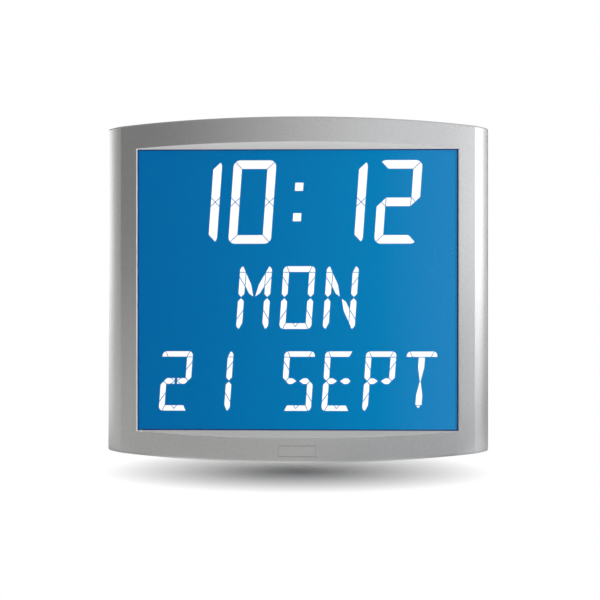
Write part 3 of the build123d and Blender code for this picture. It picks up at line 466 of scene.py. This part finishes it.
looks = [
    silver_paint("silver_paint"),
    badge_metal("badge_metal"),
    moulded("cover_plastic", (0.075, 0.075, 0.08), roughness=0.55, grain=1000.0, depth=0.00008),
    plated("screw_steel", (0.62, 0.62, 0.63)),
    moulded("grommet_rubber", (0.02, 0.02, 0.02), roughness=0.65, grain=1800.0),
    powder_coat("bracket_steel", (0.33, 0.34, 0.35)),
    moulded("button_plastic", (0.03, 0.03, 0.033), roughness=0.45, grain=1600.0),
    moulded("gasket_foam", (0.02, 0.02, 0.025), roughness=0.85, grain=2200.0, depth=0.0001),
    clear_layer("clear_film", alpha=0.06, roughness=0.3),
    clear_layer("clear_glass", alpha=0.04, roughness=0.08),
    segment_white("segment_white"),
    moulded("seal_resin", (0.02, 0.07, 0.14), roughness=0.4, grain=900.0),
    display_blue("blue_field"),
    moulded("white_sheet", (0.85, 0.85, 0.85), roughness=0.7, grain=1400.0),
    moulded("guide_acrylic", (0.8, 0.86, 0.88), roughness=0.12, grain=600.0, Coat_Weight=0.5),
    moulded("led_white", (0.9, 0.82, 0.45), roughness=0.35, grain=2500.0),
    solder_mask("board_laminate", (0.012, 0.11, 0.045)),
    moulded("frame_plastic", (0.7, 0.7, 0.69), roughness=0.5, grain=900.0),
    striped("contact_rubber", dark=(0.03, 0.03, 0.035), light=(0.3, 0.3, 0.31), pitch=0.0005),
    moulded("chip_epoxy", (0.02, 0.02, 0.022), roughness=0.6, grain=2500.0),
    plated("can_metal", (0.7, 0.7, 0.7), roughness=0.28, stretch=(0.2, 1.0, 0.2)),
    plated("cell_steel", (0.66, 0.66, 0.67), roughness=0.22, stretch=(0.1, 1.0, 1.0)),
    moulded("terminal_plastic", (0.02, 0.16, 0.07), roughness=0.4, grain=1300.0),
]
finishes = {look.name: look.material for look in looks}
for subpart in frame["record"]["subparts"]:
    mesh = frame["nodes"][subpart["node"]].data
    mesh.materials.clear()
    mesh.materials.append(finishes[subpart["material_slot"]])


def shadow_reach(finish, middle, half_width, reach_front, reach_back):
    """How far a place on the floor is from a shadow's middle, as a share of the shadow's oval."""
    across = finish.math("DIVIDE", finish.along("X"), half_width)
    offset = finish.math("SUBTRACT", finish.along("Y"), middle)
    front = finish.math("DIVIDE", offset, -reach_front)
    deep = finish.math("MAXIMUM", front, finish.math("DIVIDE", offset, reach_back))
    square = finish.math("MULTIPLY_ADD", across, across, finish.math("MULTIPLY", deep, deep))
    return finish.math("SQRT", square)


def unshaded(finish):
    """Zero in the middle of a shadow's oval, where the floor keeps all of it, to one outside both."""
    reaches = [shadow_reach(finish, **shadow) for shadow in (FRONT_SHADOW, REAR_SHADOW)]
    reach = finish.math("MINIMUM", finish.math("MINIMUM", *reaches), 1.0)
    return finish.math("POWER", reach, SHADOW_SOFTNESS)


def mirrored_floor(finish):
    """The floor as polished pieces mirror it, with the strip along the front that the lower rim shows."""
    across = finish.along("X")
    bow = finish.math("MULTIPLY", finish.math("MULTIPLY", across, across), FRONT_BOW)
    gain = finish.span(finish.math("ABSOLUTE", across), *RIM_ENDS, *RIM_GAINS)
    rim = finish.span(finish.math("SUBTRACT", finish.along("Y"), bow), *RIM_STRIP, 1.0, gain)
    near = finish.surroundings(FLOOR_LEVELS, FLOOR_VIEWPOINT, rim)
    away = finish.node("ShaderNodeVectorMath", operation="LENGTH")
    finish.join(finish.place, away.inputs["Vector"])
    outer = finish.span(away.outputs["Value"], *FAR_FLOOR)
    return finish.mix(outer, near, finish.surroundings(FAR_FLOOR_LEVELS))


def make_floor():
    """A white floor that keeps the soft shadow close to the clock."""
    mesh = bpy.data.meshes.new("floor")
    low, high = -FLOOR_HALF_SIZE, FLOOR_HALF_SIZE
    outline = [(low, low), (high, low), (high, high), (low, high)]
    mesh.from_pydata([(x, y, -FLOOR_DROP) for x, y in outline], [], [(0, 1, 2, 3)])
    floor = bpy.data.objects.new("floor", mesh)
    bpy.context.scene.collection.objects.link(floor)
    finish = Finish("floor", Base_Color=(*FLOOR_COLOUR, 1.0), Roughness=0.9, Specular_IOR_Level=0.0)
    plain = unshaded(finish)
    camera, mirrored = finish.seen_rays()
    glow = finish.node("ShaderNodeEmission")
    finish.join(finish.mix(mirrored, WHITE, mirrored_floor(finish)), glow.inputs["Color"])
    blend = finish.node("ShaderNodeMixShader")
    finish.join(finish.math("MULTIPLY_ADD", plain, camera, mirrored), blend.inputs["Fac"])
    finish.join(finish.shader.outputs["BSDF"], blend.inputs[1])
    finish.join(glow.outputs["Emission"], blend.inputs[2])
    output = finish.tree.nodes["Material Output"]
    finish.join(blend.outputs["Shader"], output.inputs["Surface"])
    mesh.materials.append(finish.material)
    return floor


def make_world():
    """White to the camera, a studio with soft boxes left and right to polished pieces, else plain."""
    world = bpy.data.worlds.new("studio")
    bpy.context.scene.world = world
    world.use_nodes = True
    nodes = Nodes(world.node_tree, "Generated")
    high = nodes.span(nodes.along("Z"), *CEILING_START)
    aside = nodes.span(nodes.along("X"), *CEILING_SIDES)
    left, right = (scaled(WHITE, level) for level in CEILING_LEVELS)
    ceiling = nodes.ramp(aside, [(0.0, left), (1.0, right)])
    room = nodes.mix(high, nodes.surroundings(STUDIO_LEVELS), ceiling)
    camera, mirrored = nodes.seen_rays()
    light = nodes.mix(mirrored, scaled(WHITE, AMBIENT_LEVEL), room)
    background = world.node_tree.nodes["Background"]
    nodes.join(nodes.mix(camera, light, WHITE), background.inputs["Color"])


def spare(source, *unlit):
    """Keep the light of a source off some objects."""
    group = bpy.data.collections.new(f"unlit_by_{source.name}")
    for place, item in enumerate(unlit):
        group.objects.link(item)
        group.collection_objects[place].light_linking.link_state = "EXCLUDE"
    source.light_linking.receiver_collection = group


def make_lamp(name, place, target, size, power, spared=None):
    """A soft box at a place, aimed at a target, that may leave one object unlit."""
    lamp = bpy.data.lights.new(name, "AREA")
    lamp.shape = "RECTANGLE"
    lamp.size, lamp.size_y = size
    lamp.energy = power
    holder = bpy.data.objects.new(name, lamp)
    holder.location = place
    holder.visible_glossy = False
    holder.visible_camera = False
    if spared:
        spare(holder, spared)
    aim = Vector(target) - Vector(place)
    holder.rotation_euler = aim.to_track_quat("-Z", "Y").to_euler()
    bpy.context.scene.collection.objects.link(holder)


def make_lamps(floor):
    """One lamp overhead that throws the shadow, and four round the clock that leave the floor alone."""
    make_lamp("overhead", (0.0, 0.95, 2.3), CLOCK_FOOT, size=(1.4, 0.8), power=50.0)
    make_lamp("front_box", (-0.3, -1.5, 0.9), CLOCK_MIDDLE, size=(1.2, 0.5), power=16.0, spared=floor)
    make_lamp("right_box", (1.3, -0.9, 0.6), CLOCK_MIDDLE, size=(0.6, 0.8), power=7.0, spared=floor)
    make_lamp("low_box", (0.2, -0.6, 0.04), WINDOW_TOP, size=(0.4, 0.1), power=5.6, spared=floor)
    make_lamp("back_box", (0.4, 1.6, 0.6), CLOCK_MIDDLE, size=(1.2, 0.6), power=12.0, spared=floor)


def make_camera():
    """The photograph's camera: straight in front of the display's middle, with a small shift."""
    low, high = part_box("front_polariser")
    camera = bpy.data.cameras.new("camera")
    camera.sensor_width = SENSOR_WIDTH
    camera.lens = SENSOR_WIDTH * FOCAL_PIXELS / IMAGE_SIZE
    camera.shift_x = (IMAGE_SIZE / 2 - DISPLAY_MIDDLE_PIXEL[0]) / IMAGE_SIZE
    camera.shift_y = (DISPLAY_MIDDLE_PIXEL[1] - IMAGE_SIZE / 2) / IMAGE_SIZE
    holder = bpy.data.objects.new("camera", camera)
    aside = CAMERA_DISTANCE * math.sin(CAMERA_TURN)
    back = CAMERA_DISTANCE * math.cos(CAMERA_TURN)
    holder.location = (aside, low.y - back, (low.z + high.z) / 2)
    holder.rotation_euler = (math.pi / 2, 0.0, CAMERA_TURN)
    bpy.context.scene.collection.objects.link(holder)
    bpy.context.scene.camera = holder


floor = make_floor()
make_world()
make_lamps(floor)
for node in GLOWING_NODES:
    spare(frame["nodes"][node], floor, frame["nodes"]["front_bezel"])
make_camera()
bpy.context.scene.view_settings.view_transform = "Standard"
